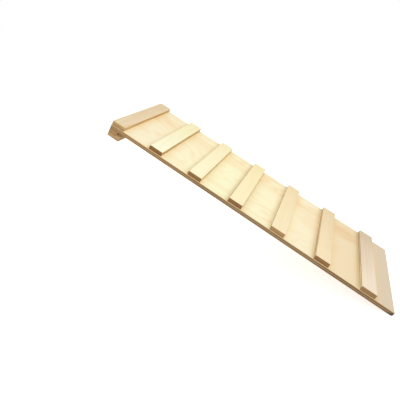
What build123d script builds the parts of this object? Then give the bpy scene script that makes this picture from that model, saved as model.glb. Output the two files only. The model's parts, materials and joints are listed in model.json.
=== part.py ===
# A wooden climbing ramp for small children: a plywood deck with plywood slats screwed across its top, and
# under its upper end a spacer strip with a wider lip below it, which together hook over a rung or an edge.
# It is modelled as it leans in use. +X runs down the slope along the floor, +Y across the ramp and +Z up.
# The origin lies on the floor, in the middle of the ramp's outline seen from above.
from build123d import *
from math import asin, atan2, cos, hypot, sin
import os

# Deck board, in millimetres
ramp_length = 1280  # along the slope
ramp_width = 440
deck_thickness = 18
deck_round = 1.5  # round-over of the deck's edges and corners
foot_round = 7  # larger round under the lower end, on which the ramp stands

# Slats across the deck
slat_count = 7
slat_width = 60  # along the slope
slat_thickness = 18
slat_inset = 4  # from the deck's side to a slat's end, clear of the deck's round-over
slat_round = 1.5  # round-over of a slat's upper edges
foot_gap = 80  # from the last slat to the deck's lower end; the first slat is flush with the upper end

# Hook under the upper end
spacer_width = 38  # along the slope
spacer_thickness = 18  # also the height of the hook's slot
slot_depth = 18  # how far the lip stands out past the spacer
lip_thickness = 18
hook_round = 1.5  # round-over of the lip's free edges

# Height of the platform that the lip rests on in use
support_height = 500

# Countersunk wood screws, all driven from underneath
screw_sides = 12  # flats around a screw, few enough to keep the part light
screw_diameter = 4  # outside of the thread
screw_head_diameter = 8
screw_point_length = 4
screw_point_diameter = 0.8
screw_head_sink = 0.5  # how far a head lies below the wood's surface
screw_clearance = 0.05  # all round, between a screw and the hole that it is seated in
recess_span = 4.4  # the cross in a head
recess_width = 1.1
recess_depth = 1.8
slat_screw_cover = 5.5  # wood left between a slat screw's point and the slat's top
slat_screw_count = 3  # in each slat
slat_screw_margin = 50  # from the ramp's side to a slat's outer screw
hook_screw_cover = 3.5  # wood left between a hook screw's point and the deck's top
hook_screw_count = 4
hook_screw_margin = 25

# Places across the ramp's section, from the upper end down the slope and up from the deck's top
lip_width = spacer_width + slot_depth
spacer_bottom = -deck_thickness - spacer_thickness
lip_bottom = spacer_bottom - lip_thickness
foot_along = ramp_length - foot_round
foot_off = foot_round - deck_thickness
lip_edge_along = lip_width - hook_round
lip_edge_off = lip_bottom + hook_round

# The incline that puts the foot's round on the floor and the lip's lower edge on the platform
reach = foot_along - lip_edge_along
drop = foot_off - lip_edge_off
rise = support_height + hook_round - foot_round
incline = asin(rise / hypot(reach, drop)) + atan2(drop, reach)
down_slope = Vector(cos(incline), 0, -sin(incline))
off_deck = Vector(sin(incline), 0, cos(incline))

# Where the upper end of the deck's top lies, so that the foot touches the floor under a centred outline
start_z = foot_round + foot_along * sin(incline) - foot_off * cos(incline)
upper_reach = hook_round * cos(incline) + lip_edge_off * sin(incline) - hook_round
lower_reach = (ramp_length - deck_round) * cos(incline) - deck_round * sin(incline) + deck_round
start_x = -(upper_reach + lower_reach) / 2

slat_pitch = (ramp_length - foot_gap - slat_width) / (slat_count - 1)  # from one slat's start to the next
slat_screw_length = deck_thickness + slat_thickness - screw_head_sink - slat_screw_cover
hook_screw_length = -lip_bottom - screw_head_sink - hook_screw_cover


def place_on_ramp(along, off):
    """Returns the point in the ramp's middle that far down the slope and that far up from the deck's top."""
    return Vector(start_x, 0, start_z) + down_slope * along + off_deck * off


def upward_plane(along, off):
    """Returns the plane parallel to the deck at that point, facing up from it."""
    return Plane(origin=place_on_ramp(along, off), x_dir=down_slope, z_dir=off_deck)


def screw_row(along, off, count, margin):
    """Returns the places of a row of screw heads that face down from the ramp."""
    head_plane = Plane(origin=place_on_ramp(along, off), x_dir=down_slope, z_dir=-off_deck)
    spacing = (ramp_width - 2 * margin) / (count - 1)
    across = [margin + spacing * number - ramp_width / 2 for number in range(count)]
    return [head_plane * Location((0, y, 0)) for y in across]


def slat_screw_row(slat_start):
    """Returns where the heads of one slat's screws lie, just inside the deck's underside."""
    heads = screw_head_sink - deck_thickness
    return screw_row(slat_start + slat_width / 2, heads, slat_screw_count, slat_screw_margin)


def make_screw_form(length, clearance):
    """Returns a screw's outer form, its head at the origin and its point below, grown by a clearance."""
    head_radius = screw_head_diameter / 2
    shank_radius = screw_diameter / 2
    sections = [
        (0, head_radius),
        (head_radius - shank_radius, shank_radius),
        (length - screw_point_length, shank_radius),
        (length + clearance, screw_point_diameter / 2),
    ]
    with BuildPart() as form:
        for depth, radius in sections:
            with BuildSketch(Plane.XY.offset(-depth)):
                RegularPolygon(radius + clearance, screw_sides)
        loft(ruled=True)
    return form.part


def make_screw(length):
    """Returns a countersunk wood screw with a cross in its head."""
    with BuildPart() as screw:
        add(make_screw_form(length, 0))
        with BuildSketch():
            Rectangle(recess_span, recess_width)
            Rectangle(recess_width, recess_span)
        extrude(amount=-recess_depth, mode=Mode.SUBTRACT)
    return screw.part


def make_screw_hole(length):
    """Returns the form of the hole that seats such a screw, with the sink above its head."""
    with BuildPart() as hole:
        add(make_screw_form(length, screw_clearance))
        with BuildSketch():
            RegularPolygon(screw_head_diameter / 2 + screw_clearance, screw_sides)
        extrude(amount=2 * screw_head_sink)
    return hole.part


def outermost_face(piece, direction):
    """Returns the face of a piece that lies furthest in a direction."""
    return piece.faces().sort_by(Axis((0, 0, 0), direction))[-1]


def write_piece(piece, name):
    """Labels a finished piece and writes it under that name."""
    piece.part.label = name
    export_step(piece.part, f"parts/{name}.step")


os.makedirs("parts", exist_ok=True)
slat_starts = [slat_pitch * number for number in range(slat_count)]
hook_screw_places = screw_row(
    spacer_width / 2, lip_bottom + screw_head_sink, hook_screw_count, hook_screw_margin
)
slat_screw = make_screw(slat_screw_length)
slat_screw_hole = make_screw_hole(slat_screw_length)
hook_screw = make_screw(hook_screw_length)
hook_screw_hole = make_screw_hole(hook_screw_length)

# Deck board, with a countersunk hole for each slat screw and blind holes for the hook's screws
with BuildPart() as deck_board:
    with BuildSketch(upward_plane(ramp_length / 2, 0)):
        Rectangle(ramp_length, ramp_width)
    extrude(amount=-deck_thickness)
    foot_edge = deck_board.edges().filter_by(Axis.Y).sort_by(Axis.Z)[0]
    fillet(foot_edge, foot_round)
    foot_seams = deck_board.faces().filter_by(GeomType.CYLINDER).edges().filter_by(Axis.Y)
    fillet(deck_board.edges() - foot_seams, deck_round)
    for slat_start in slat_starts:
        with Locations(*slat_screw_row(slat_start)):
            add(slat_screw_hole, mode=Mode.SUBTRACT)
    with Locations(*hook_screw_places):
        add(hook_screw_hole, mode=Mode.SUBTRACT)
write_piece(deck_board, "deck_board")

# Slats, each with blind holes underneath for its screws, and the screws
for number, slat_start in enumerate(slat_starts, start=1):
    with BuildPart() as slat:
        with BuildSketch(upward_plane(slat_start + slat_width / 2, 0)):
            Rectangle(slat_width, ramp_width - 2 * slat_inset)
        extrude(amount=slat_thickness)
        fillet(outermost_face(slat, off_deck).edges(), slat_round)
        with Locations(*slat_screw_row(slat_start)):
            add(slat_screw_hole, mode=Mode.SUBTRACT)
    write_piece(slat, f"slat_{number}")
    with BuildPart() as slat_screws:
        with Locations(*slat_screw_row(slat_start)):
            add(slat_screw)
    write_piece(slat_screws, f"slat_{number}_screws")

# Hook spacer, a plain strip flush with the deck's upper end
with BuildPart() as hook_spacer:
    with BuildSketch(upward_plane(spacer_width / 2, -deck_thickness)):
        Rectangle(spacer_width, ramp_width)
    extrude(amount=-spacer_thickness)
    with Locations(*hook_screw_places):
        add(hook_screw_hole, mode=Mode.SUBTRACT)
write_piece(hook_spacer, "hook_spacer")

# Hook lip, whose lower edge rests on the platform in use
with BuildPart() as hook_lip:
    with BuildSketch(upward_plane(lip_width / 2, spacer_bottom)):
        Rectangle(lip_width, ramp_width)
    extrude(amount=-lip_thickness)
    free_faces = outermost_face(hook_lip, -off_deck), outermost_face(hook_lip, down_slope)
    fillet(set(edge for face in free_faces for edge in face.edges()), hook_round)
    with Locations(*hook_screw_places):
        add(hook_screw_hole, mode=Mode.SUBTRACT)
write_piece(hook_lip, "hook_lip")

# Screws through the lip and the spacer into the deck
with BuildPart() as hook_screws:
    with Locations(*hook_screw_places):
        add(hook_screw)
write_piece(hook_screws, "hook_screws")
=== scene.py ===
"""Dresses the wooden climbing ramp: plywood that shows its veneer, its plies and its sanded edges, and
plated wood screws, on a plain pale floor in soft light. Lengths are in metres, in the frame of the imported
model."""
import json
import math
from types import SimpleNamespace

import bmesh
import bpy
from mathutils import Matrix, Vector


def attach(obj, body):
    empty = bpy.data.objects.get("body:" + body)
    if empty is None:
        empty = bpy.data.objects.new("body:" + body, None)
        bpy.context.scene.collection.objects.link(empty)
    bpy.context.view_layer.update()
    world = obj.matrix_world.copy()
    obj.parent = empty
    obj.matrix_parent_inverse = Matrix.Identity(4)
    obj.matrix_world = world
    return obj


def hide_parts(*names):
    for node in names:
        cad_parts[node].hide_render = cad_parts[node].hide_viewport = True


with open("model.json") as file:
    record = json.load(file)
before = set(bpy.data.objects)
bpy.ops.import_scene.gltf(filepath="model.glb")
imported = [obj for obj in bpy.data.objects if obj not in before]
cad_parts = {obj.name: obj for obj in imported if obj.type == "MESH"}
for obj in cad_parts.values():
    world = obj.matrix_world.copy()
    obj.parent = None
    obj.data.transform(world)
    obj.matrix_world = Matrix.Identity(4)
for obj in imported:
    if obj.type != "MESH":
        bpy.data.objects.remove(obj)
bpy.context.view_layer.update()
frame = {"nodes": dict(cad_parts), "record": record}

MM = 0.001

# Boards
BOARD_THICKNESS = 18 * MM
HOOK_LIP_WIDTH = 56 * MM
SLAT_COUNT = 7
SLAT_WIDTH = 60 * MM
SLAT_PITCH = 190 * MM
RAMP_WIDTH = 440 * MM

# How the boards lie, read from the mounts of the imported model: the lip's underside faces square off the
# boards, and the hook's slot opens down the slope
mounts = {mount["name"]: mount for mount in frame["record"]["mounts"]}
DOWN_SLOPE = Vector(mounts["hook_slot"]["axis"])
OFF_DECK = -Vector(mounts["lip_underside"]["axis"])
INCLINE = math.atan2(-DOWN_SLOPE.z, DOWN_SLOPE.x)
LIP_BOTTOM = -3 * BOARD_THICKNESS  # below the deck's top lie the deck, the spacer and the lip
LIP_MIDDLE = Vector(mounts["lip_underside"]["pos_m"])
DECK_TOP_START = LIP_MIDDLE - DOWN_SLOPE * HOOK_LIP_WIDTH / 2 - OFF_DECK * LIP_BOTTOM

# Plywood, as it is laid up
PLY_COUNT = 5  # in every board, the face veneers included
PLY_THICKNESS = BOARD_THICKNESS / PLY_COUNT
GLUE_LINE = 0.12 * MM  # from its middle to where it starts to fade; a real one is thinner, and wouldn't show
LOOK_DEPTH = 0.3 * MM  # how far under the surface the pattern is read

# Figure of peeled birch: sizes with the grain, over it, and between its layers
HILL_SIZE = Vector((530 * MM, 180 * MM, 1))
HILL_LINES = 13  # level lines from the deepest dale to the highest hill
STREAK_SIZE = Vector((300 * MM, 12 * MM, 1))
PORE_SIZE = Vector((4 * MM, 0.5 * MM, 1))  # thicker than a real pore, so that it shows
END_GRAIN_SPECK = 1.5 * MM  # coarser than real end grain, for the same reason
FLAME_ACROSS = 110 * MM  # from the middle of the deck to the long flame of figure in its veneer
FLAME_WANDER = 160 * MM  # how far it strays, from side to side
FLAME_HALF_WIDTH = 20 * MM, 80 * MM  # whole within the first, gone beyond the second

# Changes down the deck, measured from its upper end: each begins at the first length and ends at the second
SIDE_DARKENS = 360 * MM, 480 * MM
# Painted shade: the deck's veneer turns warmer towards the foot over this span
PAINTED_SHADE_WARMS = 900 * MM, 1020 * MM
FLAME_FADES = 1100 * MM, 1200 * MM
# Painted shade: the deck's veneer turns greyer and darker towards the foot over this span
PAINTED_SHADE_GREYS = 1120 * MM, 1250 * MM
DECK_BRIGHTEST = 520 * MM  # where the deck is brightest, below the softbox, with a pool of light painted into its veneer
LIGHT_POOL_REACH = 360 * MM  # from there, both ways
SHADE_BELOW_SLAT = 42 * MM  # how far from a slat's lower side the painted shade reaches
SHADE_ABOVE_SLAT = 30 * MM  # and from its upper side
# Painted contact shadow at the ramp's foot
CONTACT_SHADOW_HEIGHT = 6 * MM, 17 * MM  # above the floor: whole below the first, gone above the second

# Countersunk wood screws
SCREW_SEGMENTS = 24  # round a screw
SCREW_HEAD_RADIUS = 3.88 * MM
SCREW_HEAD_SINK = 0.5 * MM  # how far a head lies below the wood's surface
SCREW_HEAD_DEPTH = 2.6 * MM
SCREW_RIM_HEIGHT = 0.3 * MM
SCREW_CORE_RADIUS = 1.35 * MM
SCREW_CREST_RADIUS = 1.93 * MM
SCREW_POINT_LENGTH = 4 * MM
SCREW_TIP_LENGTH = 0.3 * MM
SCREW_TURN = 2.4  # radians from one screw to the next, so that their crosses don't all line up
SCREW_SHARP_ANGLE = math.radians(32)  # faces that meet at less are shaded as one round surface
THREAD_PITCH = 1.8 * MM
THREAD_SHARE = 0.64  # of the screw's length, from its point up
THREAD_STEPS = 14  # in each turn
THREAD_ROOT = 0.96  # of the core's radius, so that the thread grows out of the core
THREAD_END_HEIGHT = 0.35  # of its full height, at the screw's point
RECESS_SPAN = 4.4 * MM
RECESS_WIDTH = 1.1 * MM
RECESS_DEPTH = 1.8 * MM
RECESS_TAPER = 0.5  # size of the recess at its floor, as a share of its size at the top
PLATING_PATCH = 4 * MM

# Where the screws go; a margin runs from the ramp's side to the first screw of a row
SLAT_SCREW_LENGTH = 30 * MM
SLAT_SCREW_COUNT = 3
SLAT_SCREW_MARGIN = 50 * MM
HOOK_SCREW_LENGTH = 50 * MM
HOOK_SCREW_COUNT = 4
HOOK_SCREW_MARGIN = 25 * MM
HOOK_SCREWS_ALONG = 19 * MM  # from the ramp's upper end

# Studio
FLOOR_REACH = 30  # from the middle of the floor to its sides
SIDE_LIGHT_FROM = 1.69, -0.614, 0.876
SOFTBOX_OFF_DECK = 1.1
SOFTBOX_SIZE = 1
CAMERA_PLACE = 0.3119, -1.4806, 0.9501
CAMERA_ANGLES = 20.879, 17.844, 1.57  # degrees: turned to the left, tipped down, and rolled


def linear(hex_colour):
    """Turns an sRGB hex colour into the linear RGBA that shaders take."""
    channels = [int(hex_colour[place:place + 2], 16) / 255 for place in (1, 3, 5)]
    curve = [c / 12.92 if c <= 0.04045 else ((c + 0.055) / 1.055) ** 2.4 for c in channels]
    return (*curve, 1)


def new_material(name):
    """Returns a material with an empty node tree."""
    material = bpy.data.materials.new(name)
    material.use_nodes = True
    material.node_tree.nodes.clear()
    return material


def add_node(owner, kind, sockets=None, **settings):
    """Adds a node, sets its fields, and fills its sockets, each with a value or with a link from a node."""
    tree = owner.node_tree
    node = tree.nodes.new("ShaderNode" + kind)
    for field, value in settings.items():
        setattr(node, field, value)
    for socket, value in (sockets or {}).items():
        if isinstance(value, bpy.types.Node):
            value = next(output for output in value.outputs if output.enabled)
        if isinstance(value, bpy.types.NodeSocket):
            tree.links.new(value, node.inputs[socket])
        else:
            node.inputs[socket].default_value = value
    return node


def lay_up(board, grain_across, seed, deck):
    """Finds, for each point of a board, its place on the ramp, its ply, and how the grain is cut there."""
    lay = SimpleNamespace(on_deck=int(deck))

    # Position along the slope, across the ramp and up from the deck's top, read a little below the surface
    # so that a face lies well inside its own veneer
    normal = add_node(board, "NewGeometry").outputs["Normal"]
    lay.surface = add_node(board, "TexCoord").outputs["Object"]
    below = add_node(board, "VectorMath", {
        0: normal, 1: Vector((-LOOK_DEPTH,) * 3), 2: lay.surface,
    }, operation="MULTIPLY_ADD")
    start = Matrix.Rotation(-INCLINE, 3, "Y") @ DECK_TOP_START
    lay.place = add_node(board, "Mapping", {
        "Vector": below, "Location": -start, "Rotation": (0, -INCLINE, 0),
    })
    lay.along, lay.across, off = add_node(board, "SeparateXYZ", {0: lay.place}).outputs

    # Height in the board, counted in plies: even plies run with the face veneer, odd ones across it
    plies = add_node(board, "Math", {0: off, 1: PLY_THICKNESS}, operation="DIVIDE")
    lay.plies = add_node(board, "Math", {0: plies, 1: PLY_COUNT}, operation="FLOORED_MODULO")
    ply = add_node(board, "Math", {0: lay.plies}, operation="FLOOR")
    lay.crosswise = add_node(board, "Math", {0: ply, 1: 2}, operation="MODULO")
    lay.back = add_node(board, "Math", {0: lay.plies, 1: 1}, operation="LESS_THAN")

    # How far the surface faces along, across and off the boards: sideways is 0 on a flat face and 1 on a
    # cut edge
    faces_along, faces_across, faces_off = (
        add_node(board, "Math", {
            0: add_node(board, "VectorMath", {0: normal, 1: direction}, operation="DOT_PRODUCT"),
        }, operation="ABSOLUTE")
        for direction in (DOWN_SLOPE, Vector((0, 1, 0)), OFF_DECK)
    )
    lay.sideways = add_node(board, "MapRange", {
        "Value": faces_off, "From Min": 0.99, "From Max": 0.7,
    }, interpolation_type="SMOOTHSTEP")

    # Grain direction of this ply, and how squarely the surface cuts it. Each ply cuts another layer of the
    # figure, and so does each board, by its seed
    with_face, over_face = (lay.across, lay.along) if grain_across else (lay.along, lay.across)
    faces_with, faces_over = (faces_across, faces_along) if grain_across else (faces_along, faces_across)
    ply_with = add_node(board, "Mix", {0: lay.crosswise, 2: with_face, 3: over_face})
    lay.ply_over = add_node(board, "Mix", {0: lay.crosswise, 2: over_face, 3: with_face})
    layer = add_node(board, "Math", {0: ply, 1: 0.37, 2: seed}, operation="MULTIPLY_ADD")
    lay.grain = add_node(board, "CombineXYZ", {0: ply_with, 1: lay.ply_over, 2: layer})
    end_cut = add_node(board, "Mix", {0: lay.crosswise, 2: faces_with, 3: faces_over})
    end_cut = add_node(board, "Math", {0: end_cut, 1: 2}, operation="POWER")
    lay.end_cut = add_node(board, "Math", {0: end_cut, 1: lay.sideways}, operation="MULTIPLY")
    lay.board_end = add_node(board, "Math", {0: faces_with, 1: 2}, operation="POWER")
    return lay


def peel_birch(board, lay):
    """Figure of rotary-peeled birch: broad level lines, fine streaks and short pores, in every ply."""
    birch = SimpleNamespace()

    # Level lines of slow hills and dales, which show clearly in places
    hill_place = add_node(board, "VectorMath", {0: lay.grain, 1: HILL_SIZE}, operation="DIVIDE")
    hills = add_node(board, "TexNoise", {"Vector": hill_place, "Scale": 1, "Detail": 2, "Roughness": 0.4})
    birch.drift = add_node(board, "TexNoise", {
        "Vector": hill_place, "Scale": 0.7, "Detail": 1, "Distortion": 0.4,
    })
    rings = add_node(board, "Math", {0: hills, 1: HILL_LINES}, operation="MULTIPLY")
    rings = add_node(board, "Math", {0: rings, 1: 0.5}, operation="PINGPONG")
    rings = add_node(board, "MapRange", {
        "Value": rings, "From Min": 0.3, "From Max": 0,
    }, interpolation_type="SMOOTHERSTEP")
    clearness = add_node(board, "MapRange", {"Value": birch.drift, "From Min": 0.4, "From Max": 0.6})

    # Long flame of figure down the deck, which strays with the drift and fades towards the foot
    flame = add_node(board, "Math", {
        0: birch.drift, 1: FLAME_WANDER, 2: lay.ply_over,
    }, operation="MULTIPLY_ADD")
    flame = add_node(board, "Math", {0: flame, 1: FLAME_ACROSS + FLAME_WANDER / 2}, operation="SUBTRACT")
    flame = add_node(board, "Math", {0: flame}, operation="ABSOLUTE")
    strength = add_node(board, "MapRange", {
        "Value": lay.along, "From Min": FLAME_FADES[1], "From Max": FLAME_FADES[0], "To Max": lay.on_deck,
    })
    birch.flame = add_node(board, "MapRange", {
        "Value": flame, "From Min": FLAME_HALF_WIDTH[1], "From Max": FLAME_HALF_WIDTH[0], "To Max": strength,
    }, interpolation_type="SMOOTHSTEP")
    clearness = add_node(board, "Math", {0: clearness, 1: birch.flame}, operation="MAXIMUM")
    birch.rings = add_node(board, "Math", {0: rings, 1: clearness}, operation="MULTIPLY")

    # Streaks with finer ones inside them, short pores, and the speckle of the end grain
    streak_place = add_node(board, "VectorMath", {0: lay.grain, 1: STREAK_SIZE}, operation="DIVIDE")
    birch.streaks = add_node(board, "TexNoise", {
        "Vector": streak_place, "Scale": 1, "Detail": 5, "Roughness": 0.6,
    })
    pore_place = add_node(board, "VectorMath", {0: lay.grain, 1: PORE_SIZE}, operation="DIVIDE")
    pores = add_node(board, "TexNoise", {"Vector": pore_place, "Scale": 1, "Detail": 0})
    birch.pores = add_node(board, "MapRange", {"Value": pores, "From Min": 0.66, "From Max": 0.74})
    birch.speckle = add_node(board, "TexNoise", {
        "Vector": lay.place, "Scale": 1 / END_GRAIN_SPECK, "Detail": 2,
    })
    return birch


def face_veneer(board, lay, birch, face, figure_share, streak_share, far_side_shade):
    """Colours the veneer between its pale tone and its figured one. Its last argument is how far it moves to
    the figured one from the near side of the ramp to the far side: painted shade, darker on the far side."""
    pale, figure = (linear(tone) for tone in face)

    # Pale at 0 and figured at 1. The means of the patterns are taken off first, so that their shares change
    # the contrast and not the tone. The back veneer is a darker, warmer sheet
    tone = (0.2 if lay.on_deck else 0.45) - 0.3 * figure_share - 0.5 * streak_share
    for pattern, share in (
        # painted shade: darker towards the ramp's far side
        (lay.across, far_side_shade / RAMP_WIDTH), (birch.rings, 0.4 * figure_share), (birch.flame, 0.3),
        (birch.drift, 0.6 * figure_share), (birch.streaks, streak_share), (birch.pores, 0.25),
        (lay.back, 0.45),
    ):
        tone = add_node(board, "Math", {0: pattern, 1: share, 2: tone}, operation="MULTIPLY_ADD")

    # Painted light: a pool of paler, yellower veneer about the deck's middle, below the softbox
    from_middle = add_node(board, "Math", {0: lay.along, 1: DECK_BRIGHTEST}, operation="SUBTRACT")
    from_middle = add_node(board, "Math", {0: from_middle}, operation="ABSOLUTE")
    painted_light_pool = add_node(board, "MapRange", {
        "Value": from_middle, "From Min": LIGHT_POOL_REACH, "From Max": 0, "To Max": 0.6 * lay.on_deck,
    }, interpolation_type="SMOOTHSTEP")
    pale = add_node(board, "Mix", {0: painted_light_pool, 6: pale, 7: linear("#F8FFD0")}, data_type="RGBA")
    return add_node(board, "Mix", {0: tone, 6: pale, 7: figure}, data_type="RGBA")


def paint_deck_shade(board, lay, birch, veneer):
    """Paints shade into the deck's veneer: warmer, greyer and darker towards the foot, where less light
    falls, and amber beside the slats, where their shade and warm bounce light fall. Other boards stay as
    they are."""

    # Painted shade: the veneer turns warmer towards the foot and, over the last of it, greyer and darker,
    # where less light falls
    lay.warmer = add_node(board, "MapRange", {
        "Value": lay.along, "From Min": PAINTED_SHADE_WARMS[0], "From Max": PAINTED_SHADE_WARMS[1],
        "To Max": 0.38 * lay.on_deck,
    }, interpolation_type="SMOOTHSTEP")
    foot_shade_tint = add_node(board, "Math", {0: birch.flame, 1: 0.4, 2: 0.85}, operation="MULTIPLY_ADD")
    foot_shade_tint = add_node(board, "Math", {0: foot_shade_tint, 1: lay.warmer}, operation="MULTIPLY")
    veneer = add_node(board, "Mix", {0: foot_shade_tint, 6: veneer, 7: linear("#E6B880")}, data_type="RGBA")
    painted_foot_grey = add_node(board, "MapRange", {
        "Value": lay.along, "From Min": PAINTED_SHADE_GREYS[0], "From Max": PAINTED_SHADE_GREYS[1],
        "To Max": 0.4 * lay.on_deck,
    }, interpolation_type="SMOOTHSTEP")
    veneer = add_node(board, "Mix", {0: painted_foot_grey, 6: veneer, 7: linear("#C4B2A8")}, data_type="RGBA")

    # Painted shade and warm bounce light beside the slats: the top veneer turns amber along them
    after_slat = add_node(board, "Math", {0: lay.along, 1: SLAT_PITCH}, operation="FLOORED_MODULO")
    shade_below_slat = add_node(board, "MapRange", {
        "Value": after_slat, "From Min": SLAT_WIDTH + SHADE_BELOW_SLAT, "From Max": SLAT_WIDTH,
        "To Max": 0.32 * lay.on_deck,
    })
    shade_above_slat = add_node(board, "MapRange", {
        "Value": after_slat, "From Min": SLAT_PITCH - SHADE_ABOVE_SLAT, "From Max": SLAT_PITCH,
        "To Max": 0.27 * lay.on_deck,
    }, interpolation_type="SMOOTHSTEP")
    painted_slat_shade = add_node(board, "Math", {0: shade_below_slat, 1: shade_above_slat}, operation="MAXIMUM")
    top_veneer = add_node(board, "Math", {0: lay.plies, 1: PLY_COUNT - 1}, operation="GREATER_THAN")
    painted_slat_shade = add_node(board, "Math", {0: painted_slat_shade, 1: top_veneer}, operation="MULTIPLY")
    return add_node(board, "Mix", {0: painted_slat_shade, 6: veneer, 7: linear("#EFCB80")}, data_type="RGBA")


def sawn_edge(board, lay, birch, edges):
    """Colours a board's edges, from the tone of its long edges to that of its ends. A ply is darker where it
    is cut across its grain, and so are the crossbands. The back ply is darker too, as painted shade low on
    each edge."""
    long_edge, board_end = (linear(tone) for tone in edges)
    edge = add_node(board, "Mix", {0: lay.board_end, 6: long_edge, 7: board_end}, data_type="RGBA")

    # The deck's edges have a tone of their own over its upper part
    upper = add_node(board, "MapRange", {
        "Value": lay.along, "From Min": SIDE_DARKENS[1], "From Max": SIDE_DARKENS[0], "To Max": lay.on_deck,
    }, interpolation_type="SMOOTHSTEP")
    edge = add_node(board, "Mix", {0: upper, 6: edge, 7: linear("#D9B27C")}, data_type="RGBA")

    # The means of the streaks and the drift are taken off first, and the speckle shows in end grain only
    grit = add_node(board, "Math", {0: birch.speckle, 1: 0.16}, operation="MULTIPLY")
    shade = -0.7
    for pattern, share in (
        # the back ply's share is painted shade low on each edge
        (lay.crosswise, 0.2), (lay.end_cut, 0.3), (lay.back, 0.35), (birch.streaks, 0.5), (birch.drift, 0.9),
        # The foot's painted shade darkens the deck's edges too
        (lay.warmer, 0.5), (lay.end_cut, grit),
    ):
        shade = add_node(board, "Math", {0: pattern, 1: share, 2: shade}, operation="MULTIPLY_ADD")
    return add_node(board, "Mix", {0: shade, 6: edge, 7: linear("#6E431E")}, data_type="RGBA")


def glue_lines(board, lay):
    """Thin dark lines of glue between the plies, which show in the edges only."""
    glue = add_node(board, "Math", {0: lay.plies, 1: 0.5}, operation="PINGPONG")
    glue = add_node(board, "MapRange", {
        "Value": glue, "From Min": GLUE_LINE / PLY_THICKNESS, "From Max": 2 * GLUE_LINE / PLY_THICKNESS,
        "To Min": 0.45, "To Max": 0,
    })

    # None at the board's two faces
    inside = add_node(board, "Math", {
        0: lay.plies, 1: PLY_COUNT / 2, 2: PLY_COUNT / 2 - 0.5,
    }, operation="COMPARE")
    glue = add_node(board, "Math", {0: glue, 1: inside}, operation="MULTIPLY")
    return add_node(board, "Math", {0: glue, 1: lay.sideways}, operation="MULTIPLY")


def paint_contact_shadow(board, lay):
    """Painted contact shadow in the cut edges, low down at the ramp's foot where it meets the floor."""
    height = add_node(board, "SeparateXYZ", {0: lay.surface}).outputs["Z"]
    contact_shadow = add_node(board, "MapRange", {
        "Value": height, "From Min": CONTACT_SHADOW_HEIGHT[1], "From Max": CONTACT_SHADOW_HEIGHT[0], "To Max": 0.9,
    }, interpolation_type="SMOOTHSTEP")
    return add_node(board, "Math", {0: contact_shadow, 1: lay.sideways}, operation="MULTIPLY")


def plywood(name, grain_across, seed, face, edges, figure_share, streak_share, far_side_shade, deck=False):
    """Birch plywood: peeled veneers glued crosswise, sanded and sealed with a clear matt varnish.

    The whole board is a solid pattern in the ramp's own directions, so that an edge shows its plies and a
    rounded corner cuts through the face veneer, as on the real board. The flat faces show the broad, quiet
    figure of peeled veneer, its streaks and its short pores. The edges are browner, with darker bands where
    plies are cut across their grain and with thin glue lines between them. The sheen is low, and lower still
    on the end grain."""
    board = new_material(name)
    lay = lay_up(board, grain_across, seed, deck)
    birch = peel_birch(board, lay)
    veneer = face_veneer(board, lay, birch, face, figure_share, streak_share, far_side_shade)
    veneer = paint_deck_shade(board, lay, birch, veneer)
    edge = sawn_edge(board, lay, birch, edges)
    glue = glue_lines(board, lay)
    colour = add_node(board, "Mix", {0: lay.sideways, 6: veneer, 7: edge}, data_type="RGBA")
    colour = add_node(board, "Mix", {0: glue, 6: colour, 7: linear("#6E4A2C")}, data_type="RGBA")
    # Painted contact shadow darkens the foot's edges
    colour = add_node(board, "Mix", {0: paint_contact_shadow(board, lay), 6: colour, 7: linear("#463C30")}, data_type="RGBA")

    # Matt varnish lies thinner on the thirsty end grain, and the sanded grain stands up a few hundredths
    # of a millimetre
    roughness = add_node(board, "Math", {0: birch.streaks, 1: 0.12, 2: 0.42}, operation="MULTIPLY_ADD")
    roughness = add_node(board, "Math", {0: lay.end_cut, 1: 0.2, 2: roughness}, operation="MULTIPLY_ADD")
    relief = add_node(board, "Math", {0: birch.streaks, 1: birch.pores}, operation="SUBTRACT")
    relief = add_node(board, "Math", {0: lay.end_cut, 1: birch.speckle, 2: relief}, operation="MULTIPLY_ADD")
    relief = add_node(board, "Math", {0: glue, 1: -0.6, 2: relief}, operation="MULTIPLY_ADD")
    bump = add_node(board, "Bump", {"Height": relief, "Strength": 0.35, "Distance": 0.15 * MM})
    shader = add_node(board, "BsdfPrincipled", {
        "Base Color": colour, "Roughness": roughness, "IOR": 1.5, "Specular IOR Level": 0.3, "Normal": bump,
    })
    add_node(board, "OutputMaterial", {"Surface": shader})
    return board


def plated_steel():
    """Steel wood screws, zinc plated and yellow passivated: warm metal with faint straw and rose patches."""
    steel = new_material("yellow_zinc_plated_steel")
    surface = add_node(steel, "TexCoord").outputs["Object"]
    patches = add_node(steel, "TexNoise", {"Vector": surface, "Scale": 1 / PLATING_PATCH, "Detail": 2})
    colour = add_node(steel, "Mix", {
        0: patches, 6: linear("#D9C58C"), 7: linear("#CDB39C"),
    }, data_type="RGBA")
    roughness = add_node(steel, "MapRange", {"Value": patches, "To Min": 0.28, "To Max": 0.42})
    shader = add_node(steel, "BsdfPrincipled", {"Base Color": colour, "Metallic": 1, "Roughness": roughness})
    add_node(steel, "OutputMaterial", {"Surface": shader})
    return steel


def give_material(node, material):
    """Puts a material in a CAD node's slots."""
    mesh = frame["nodes"][node].data
    for number in range(len(mesh.materials)):
        mesh.materials[number] = material


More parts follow.
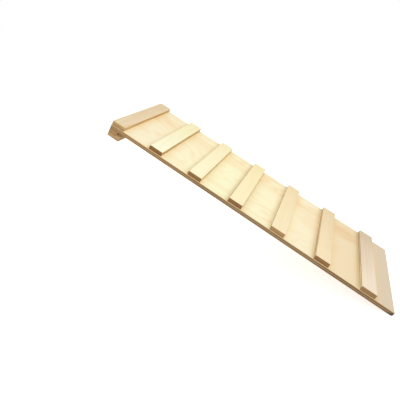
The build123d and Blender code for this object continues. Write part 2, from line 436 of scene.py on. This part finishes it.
def dress_boards():
    """Gives the deck, each slat and the hook's strips their own plywood. Each has its face's pale tone and
    figured tone, its long edges' tone and its ends', its shares of figure and of streaks, and how far its
    veneer darkens towards the far side, as painted shade."""
    deck_tones = ("#FCF3D1", "#F6DCAC"), ("#C5A777", "#DDB985")
    deck = plywood("deck_birch_plywood", False, 3.1, *deck_tones, 1.1, 0.5, 0.1, deck=True)
    give_material("deck_board", deck)
    slat_tones = [
        (("#EFDDBA", "#DCBF93"), ("#F2D19A", "#F7CE8C"), 0.4, 1.6, 0.15),
        (("#FDFADB", "#F3E6B0"), ("#E2C689", "#B08146"), 0.4, 0.9, 0.8),
        (("#FAF3CB", "#F4E5B7"), ("#F3D89A", "#BA8E52"), 0.5, 0.9, 0.9),
        (("#FAEDC1", "#F3E0AC"), ("#CB9956", "#B68354"), 0.4, 0.9, 1),
        # Slats 5 to 7 have paler long edges, as painted light on their sides that face up the slope
        (("#F7E6BC", "#EFD8A8"), ("#FFF5D3", "#E2B778"), 0.4, 1, 1.1),
        (("#F8E3B9", "#EAD2A6"), ("#FFE9BC", "#BA8C56"), 0.3, 1.2, 1.2),
        (("#F9E6CC", "#D9C29F"), ("#FFF2CD", "#C59E68"), 0.2, 0.8, 1.2),
    ]
    for number, tones in enumerate(slat_tones, start=1):
        slat = plywood(f"slat_{number}_birch_plywood", True, 11.3 * number, *tones)
        give_material(f"slat_{number}", slat)
    hook_face = "#F1E0BC", "#DFC08E"
    for node, seed, board_end in (("hook_spacer", 91.7, "#EEBE82"), ("hook_lip", 97.3, "#F8CD91")):
        hook_edges = "#DDB67C", board_end
        strip = plywood(f"{node}_birch_plywood", True, seed, hook_face, hook_edges, 0.8, 0.5, 0.2)
        give_material(node, strip)


def points_of(geometry):
    """Returns the vertices of what an operator has made."""
    return [part for part in geometry if isinstance(part, bmesh.types.BMVert)]


def pull_ring(mesh, ring, depth, radius):
    """Extrudes a ring of edges to another depth and radius, and returns the new ring."""
    pulled = bmesh.ops.extrude_edge_only(mesh, edges=ring)["geom"]
    for vertex in points_of(pulled):
        flat = vertex.co.xy.normalized() * radius
        vertex.co = (flat.x, flat.y, -depth)
    return [part for part in pulled if isinstance(part, bmesh.types.BMEdge)]


def core_radius(depth, length):
    """Returns the radius of a screw's core, which runs out to its point."""
    return SCREW_CORE_RADIUS * min(1, max(0, length - depth) / SCREW_POINT_LENGTH)


def head_with_recess(mesh):
    """Makes the flat top of a screw's head with a cross pressed into it, and returns the ring of its rim."""
    arm = (RECESS_SPAN - RECESS_WIDTH) / 2
    bmesh.ops.create_grid(mesh, x_segments=1, y_segments=1, size=RECESS_WIDTH / 2)
    for edge in list(mesh.edges):
        outward = (edge.verts[0].co + edge.verts[1].co).normalized()
        pulled = bmesh.ops.extrude_edge_only(mesh, edges=[edge])["geom"]
        bmesh.ops.translate(mesh, verts=points_of(pulled), vec=outward * arm)
    cross = list(mesh.faces)
    outline = [edge for edge in mesh.edges if edge.is_boundary]
    circle = bmesh.ops.create_circle(
        mesh, cap_ends=False, segments=SCREW_SEGMENTS, radius=SCREW_HEAD_RADIUS,
    )
    rim = list({edge for vertex in circle["verts"] for edge in vertex.link_edges})
    bmesh.ops.triangle_fill(mesh, use_beauty=True, edges=rim + outline)

    # The extrusion leaves its starting faces behind, as a lid over the recess
    pressed = bmesh.ops.extrude_face_region(mesh, geom=cross)["geom"]
    bmesh.ops.delete(mesh, geom=cross, context="FACES")
    bmesh.ops.scale(mesh, verts=points_of(pressed), vec=(RECESS_TAPER, RECESS_TAPER, 1))
    bmesh.ops.translate(mesh, verts=points_of(pressed), vec=(0, 0, -RECESS_DEPTH))
    return rim


def cut_thread(mesh, length):
    """Winds the thread round a screw: a sharp ridge that rises out of the core and runs out at the point."""
    start = length * (1 - THREAD_SHARE)
    turns = (length - THREAD_PITCH - start) / THREAD_PITCH
    steps = round(turns * THREAD_STEPS)

    # The ridge's foot takes half the pitch, with its crest in the middle
    profile = [
        mesh.verts.new((radius, 0, -start - THREAD_PITCH * rise))
        for radius, rise in ((SCREW_CORE_RADIUS, 0), (SCREW_CREST_RADIUS, 0.25), (SCREW_CORE_RADIUS, 0.5))
    ]
    ridge = mesh.faces.new(profile)
    before = set(mesh.verts) - set(profile)
    bmesh.ops.spin(
        mesh, geom=[ridge], cent=(0, 0, 0), axis=(0, 0, -1), dvec=(0, 0, -THREAD_PITCH / THREAD_STEPS),
        angle=2 * math.pi * steps / THREAD_STEPS, steps=steps,
    )
    for vertex in set(mesh.verts) - before:
        depth = -vertex.co.z
        height = max(0, vertex.co.xy.length - SCREW_CORE_RADIUS)
        height *= min(1, max(0, depth - start) / THREAD_PITCH)
        core = core_radius(depth, length)
        height *= THREAD_END_HEIGHT + (1 - THREAD_END_HEIGHT) * core / SCREW_CORE_RADIUS
        vertex.co.xy = vertex.co.xy.normalized() * (core * THREAD_ROOT + height)


def wood_screw(length):
    """Returns the mesh of a countersunk wood screw, its head's top at the origin and its point below."""
    mesh = bmesh.new()
    ring = head_with_recess(mesh)

    # Thin rim, countersunk cone, neck and core, closed at the point
    tip_start = length - SCREW_TIP_LENGTH
    sections = [
        (SCREW_RIM_HEIGHT, SCREW_HEAD_RADIUS),
        (SCREW_HEAD_DEPTH * 0.8, SCREW_CORE_RADIUS * 1.25),  # foot of the cone
        (SCREW_HEAD_DEPTH * 1.3, SCREW_CORE_RADIUS),  # end of the neck
        (length - SCREW_POINT_LENGTH, SCREW_CORE_RADIUS),
        (tip_start, core_radius(tip_start, length)),
    ]
    for depth, radius in sections:
        ring = pull_ring(mesh, ring, depth, radius)
    tip = list({vertex for edge in ring for vertex in edge.verts})
    bmesh.ops.pointmerge(mesh, verts=tip, merge_co=(0, 0, -length))
    cut_thread(mesh, length)
    bmesh.ops.recalc_face_normals(mesh, faces=mesh.faces)
    return mesh


def drive_screws(name, node, length, along, off, count, margin, steel):
    """Drives a row of screws upwards into the boards, each turned differently, as one piece."""
    row = bmesh.new()
    screw = wood_screw(length)
    spacing = (RAMP_WIDTH - 2 * margin) / (count - 1)
    facing = (-OFF_DECK).to_track_quat("Z", "X").to_matrix().to_4x4()
    for number in range(count):
        across = margin - RAMP_WIDTH / 2 + spacing * number
        place = DECK_TOP_START + DOWN_SLOPE * along + OFF_DECK * off + Vector((0, across, 0))
        turn = Matrix.Rotation(SCREW_TURN * number + along, 4, "Z")
        one = bpy.data.meshes.new("screw")
        screw.to_mesh(one)
        one.transform(Matrix.Translation(place) @ facing @ turn)
        row.from_mesh(one)
        bpy.data.meshes.remove(one)
    screw.free()
    mesh = bpy.data.meshes.new(name)
    row.to_mesh(mesh)
    row.free()
    for polygon in mesh.polygons:
        polygon.use_smooth = True
    mesh.set_sharp_from_angle(angle=SCREW_SHARP_ANGLE)
    mesh.materials.append(steel)
    piece = bpy.data.objects.new(name, mesh)
    bpy.context.scene.collection.objects.link(piece)
    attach(piece, "root")
    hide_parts(node)


def dress_screws():
    """Puts detailed screws in the place of the plain ones, under the deck and under the hook's lip."""
    steel = plated_steel()
    for number in range(SLAT_COUNT):
        drive_screws(
            f"slat_{number + 1}_wood_screws", f"slat_{number + 1}_screws", SLAT_SCREW_LENGTH,
            along=SLAT_PITCH * number + SLAT_WIDTH / 2, off=SCREW_HEAD_SINK - BOARD_THICKNESS,
            count=SLAT_SCREW_COUNT, margin=SLAT_SCREW_MARGIN, steel=steel,
        )
    drive_screws(
        "hook_wood_screws", "hook_screws", HOOK_SCREW_LENGTH,
        along=HOOK_SCREWS_ALONG, off=LIP_BOTTOM + SCREW_HEAD_SINK,
        count=HOOK_SCREW_COUNT, margin=HOOK_SCREW_MARGIN, steel=steel,
    )


def seen_directly(owner):
    """Returns 1 for what the camera sees, straight or in metal or glass, and 0 for light on the object."""
    rays = add_node(owner, "LightPath").outputs
    seen = add_node(owner, "Math", {0: rays["Is Camera Ray"], 1: rays["Is Glossy Ray"]}, operation="MAXIMUM")
    return add_node(owner, "Math", {0: seen, 1: rays["Is Transmission Ray"]}, operation="MAXIMUM")


def floor_material():
    """Painted studio floor, matt and pale. What is seen of it is white, with the ramp's shadow kept."""
    material = new_material("pale_studio_floor")
    paint = add_node(material, "BsdfDiffuse", {"Color": linear("#E4E2DE")})
    glow = add_node(material, "Emission", {"Color": (1, 1, 1, 1), "Strength": 0.68})
    seen_paint = add_node(material, "BsdfDiffuse", {"Color": linear("#F4F4F4")})
    seen_floor = add_node(material, "AddShader", {0: glow, 1: seen_paint})
    surface = add_node(material, "MixShader", {0: seen_directly(material), 1: paint, 2: seen_floor})

    # From below the floor is clear, so that the ramp's underside can be looked at
    underneath = add_node(material, "NewGeometry").outputs["Backfacing"]
    clear = add_node(material, "BsdfTransparent")
    one_sided = add_node(material, "MixShader", {0: underneath, 1: surface, 2: clear})
    add_node(material, "OutputMaterial", {"Surface": one_sided})
    return material


def make_floor():
    """Lays the floor under the ramp's foot."""
    plane = bmesh.new()
    bmesh.ops.create_grid(plane, x_segments=1, y_segments=1, size=FLOOR_REACH)
    mesh = bpy.data.meshes.new("studio_floor")
    plane.to_mesh(mesh)
    plane.free()
    mesh.materials.append(floor_material())
    floor = bpy.data.objects.new("studio_floor", mesh)
    bpy.context.scene.collection.objects.link(floor)


def hang_lamp(name, kind, place, target, energy, **settings):
    """Hangs a lamp that points at a target."""
    lamp = bpy.data.lights.new(name, kind)
    lamp.energy = energy
    for field, value in settings.items():
        setattr(lamp, field, value)
    holder = bpy.data.objects.new(name, lamp)
    holder.location = place
    holder.rotation_euler = (Vector(target) - Vector(place)).to_track_quat("-Z", "Y").to_euler()
    holder.visible_camera = False
    bpy.context.scene.collection.objects.link(holder)


def light_studio():
    """Broad soft light from low on the right, a softbox over the boards, and an even white surround."""
    target = DECK_TOP_START + DOWN_SLOPE * DECK_BRIGHTEST
    above = target + OFF_DECK * SOFTBOX_OFF_DECK
    hang_lamp("overhead_softbox", "AREA", above, target, energy=4.2, size=SOFTBOX_SIZE)
    hang_lamp("broad_side_light", "SUN", SIDE_LIGHT_FROM, (0, 0, 0), energy=0.64, angle=math.radians(40))
    world = bpy.data.worlds.new("white_surround")
    world.use_nodes = True
    world.node_tree.nodes.clear()
    bpy.context.scene.world = world
    strength = add_node(world, "MapRange", {"Value": seen_directly(world), "To Min": 0.62, "To Max": 1})
    white = add_node(world, "Background", {"Color": (1, 1, 1, 1), "Strength": strength})
    add_node(world, "OutputWorld", {"Surface": white})


def make_camera():
    """Looks at the ramp from where the photograph was taken."""
    lens = bpy.data.cameras.new("camera")
    lens.sensor_width = 36
    lens.lens = 33.39
    lens.shift_y = -0.125
    camera = bpy.data.objects.new("camera", lens)
    place = Matrix.Translation(CAMERA_PLACE)
    heading, downward, roll = (math.radians(angle) for angle in CAMERA_ANGLES)
    turn = Matrix.Rotation(heading, 4, "Z") @ Matrix.Rotation(math.pi / 2 - downward, 4, "X")
    camera.matrix_world = place @ turn @ Matrix.Rotation(roll, 4, "Z")
    bpy.context.scene.collection.objects.link(camera)
    bpy.context.scene.camera = camera


dress_boards()
dress_screws()
make_floor()
light_studio()
make_camera()
bpy.context.scene.view_settings.view_transform = "Standard"
